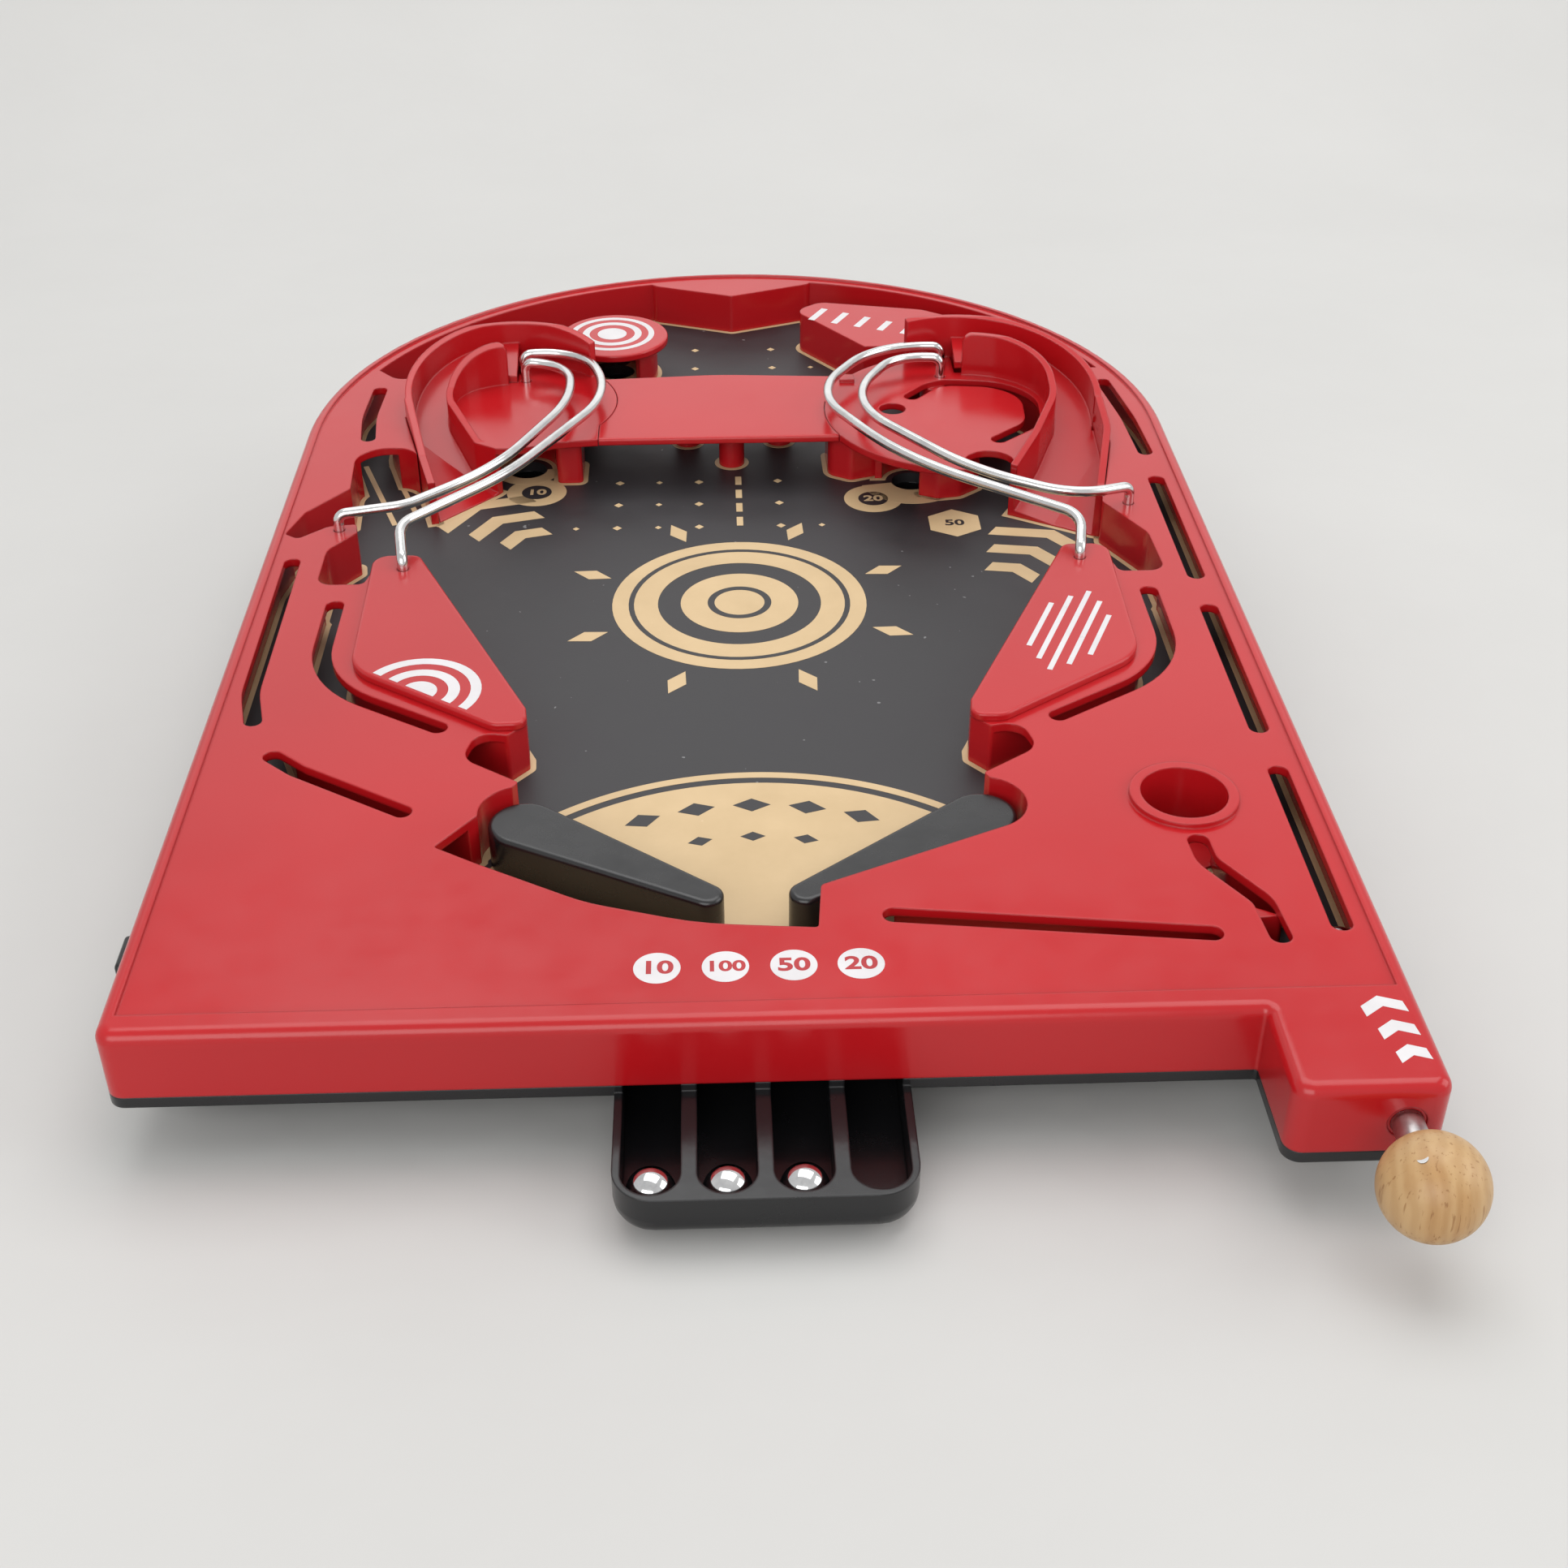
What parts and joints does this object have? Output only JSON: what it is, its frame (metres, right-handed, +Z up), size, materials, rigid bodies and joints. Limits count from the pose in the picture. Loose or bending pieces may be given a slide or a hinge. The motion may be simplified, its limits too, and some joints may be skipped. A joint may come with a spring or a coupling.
{
  "type": "tabletop pinball game",
  "caption": "Leaning tabletop pinball game with an arched top cover, sprung plunger, flippers worked by side buttons, curved ramps, wire rails, scoring holes and a front ball tray.",
  "frame": {"origin": "middle of the bounding box's underside, on the table plane that the feet stand on", "axes": "+Z up, +Y from the player's end to the arched rear, +X to the player's right; the deck leans up to the rear about X"},
  "size_m": [0.268, 0.4324, 0.0715],
  "materials": {
    "red_plastic": "moulded gloss red",
    "black_plastic": "moulded black with a slight gloss",
    "printed_board": "dark printed hardboard, satin",
    "tan_print": "flat tan ink",
    "white_print": "flat white ink",
    "chromed_wire": "bright plated steel wire",
    "plain_steel": "plain steel",
    "ball_steel": "polished steel",
    "knob_wood": "turned beech with a thin lacquer",
    "rubber": "dull black rubber"
  },
  "bodies": {
    "table": {"top_cover": "red_plastic", "right_slingshot_cap": "red_plastic", "left_slingshot_cap": "red_plastic", "playfield_board": "printed_board", "base_shell": "black_plastic", "left_ramp": "red_plastic", "right_ramp": "red_plastic", "bridge_panel": "red_plastic", "round_roof": "red_plastic", "left_inner_rail": "chromed_wire", "left_outer_rail": "chromed_wire", "right_inner_rail": "chromed_wire", "right_outer_rail": "chromed_wire", "plunger_bush": "red_plastic", "plunger_spring": "plain_steel", "left_button_spring": "plain_steel", "right_button_spring": "plain_steel", "cover_screws": "plain_steel", "leg_screws": "plain_steel", "left_rear_leg": "black_plastic", "right_rear_leg": "black_plastic", "rubber_feet": "rubber"},
    "left_flipper_set": {"left_flipper": "black_plastic", "left_flipper_shaft": "plain_steel", "left_flipper_lever": "black_plastic"},
    "right_flipper_set": {"right_flipper": "black_plastic", "right_flipper_shaft": "plain_steel", "right_flipper_lever": "black_plastic"},
    "left_button_set": {"left_button": "black_plastic", "left_push_bar": "black_plastic"},
    "right_button_set": {"right_button": "black_plastic", "right_push_bar": "black_plastic"},
    "plunger": {"plunger_rod": "plain_steel", "plunger_knob": "knob_wood", "knob_pin": "plain_steel", "plunger_collar": "black_plastic", "plunger_tip": "rubber"},
    "launch_ball": {"launch_ball": "ball_steel"},
    "left_tray_ball": {"tray_ball_left": "ball_steel"},
    "middle_tray_ball": {"tray_ball_middle": "ball_steel"},
    "right_tray_ball": {"tray_ball_right": "ball_steel"}
  },
  "joints": [
    {"name": "left_flipper_swing", "type": "hinge", "parent": "table", "child": "left_flipper_set", "pos_m": [-0.0495, -0.09764, 0.02409], "axis": [0, -0.0828, 0.9966], "range_deg": [0, 50]},
    {"name": "right_flipper_swing", "type": "hinge", "parent": "table", "child": "right_flipper_set", "pos_m": [0.0495, -0.09764, 0.02409], "axis": [0, 0.0828, -0.9966], "range_deg": [0, 50]},
    {"name": "left_button_press", "type": "slide", "parent": "table", "child": "left_button_set", "axis": [1, 0, 0], "range_m": [0, 0.00592], "deforming": ["left_button_spring"]},
    {"name": "right_button_press", "type": "slide", "parent": "table", "child": "right_button_set", "axis": [-1, 0, 0], "range_m": [0, 0.00592], "deforming": ["right_button_spring"]},
    {"name": "plunger_pull", "type": "slide", "parent": "table", "child": "plunger", "axis": [0, -0.9966, -0.0828], "range_m": [0, 0.015], "stiffness_N_per_m": 120, "springref_m": -0.004, "deforming": ["plunger_spring"]},
    {"name": "launch_ball_roll", "type": "slide", "parent": "table", "child": "launch_ball", "axis": [0, 0.9966, 0.0828], "range_m": [0, 0.22]},
    {"name": "left_tray_ball_roll", "type": "slide", "parent": "table", "child": "left_tray_ball", "axis": [0, 0.9966, 0.0828], "range_m": [0, 0.036]},
    {"name": "middle_tray_ball_roll", "type": "slide", "parent": "table", "child": "middle_tray_ball", "axis": [0, 0.9966, 0.0828], "range_m": [0, 0.036]},
    {"name": "right_tray_ball_roll", "type": "slide", "parent": "table", "child": "right_tray_ball", "axis": [0, 0.9966, 0.0828], "range_m": [0, 0.036]}
  ],
  "couplings": [
    {"joint": "left_button_press", "follows": "left_flipper_swing", "m_per_rad": 0.00678},
    {"joint": "right_button_press", "follows": "right_flipper_swing", "m_per_rad": 0.00678}
  ]
}
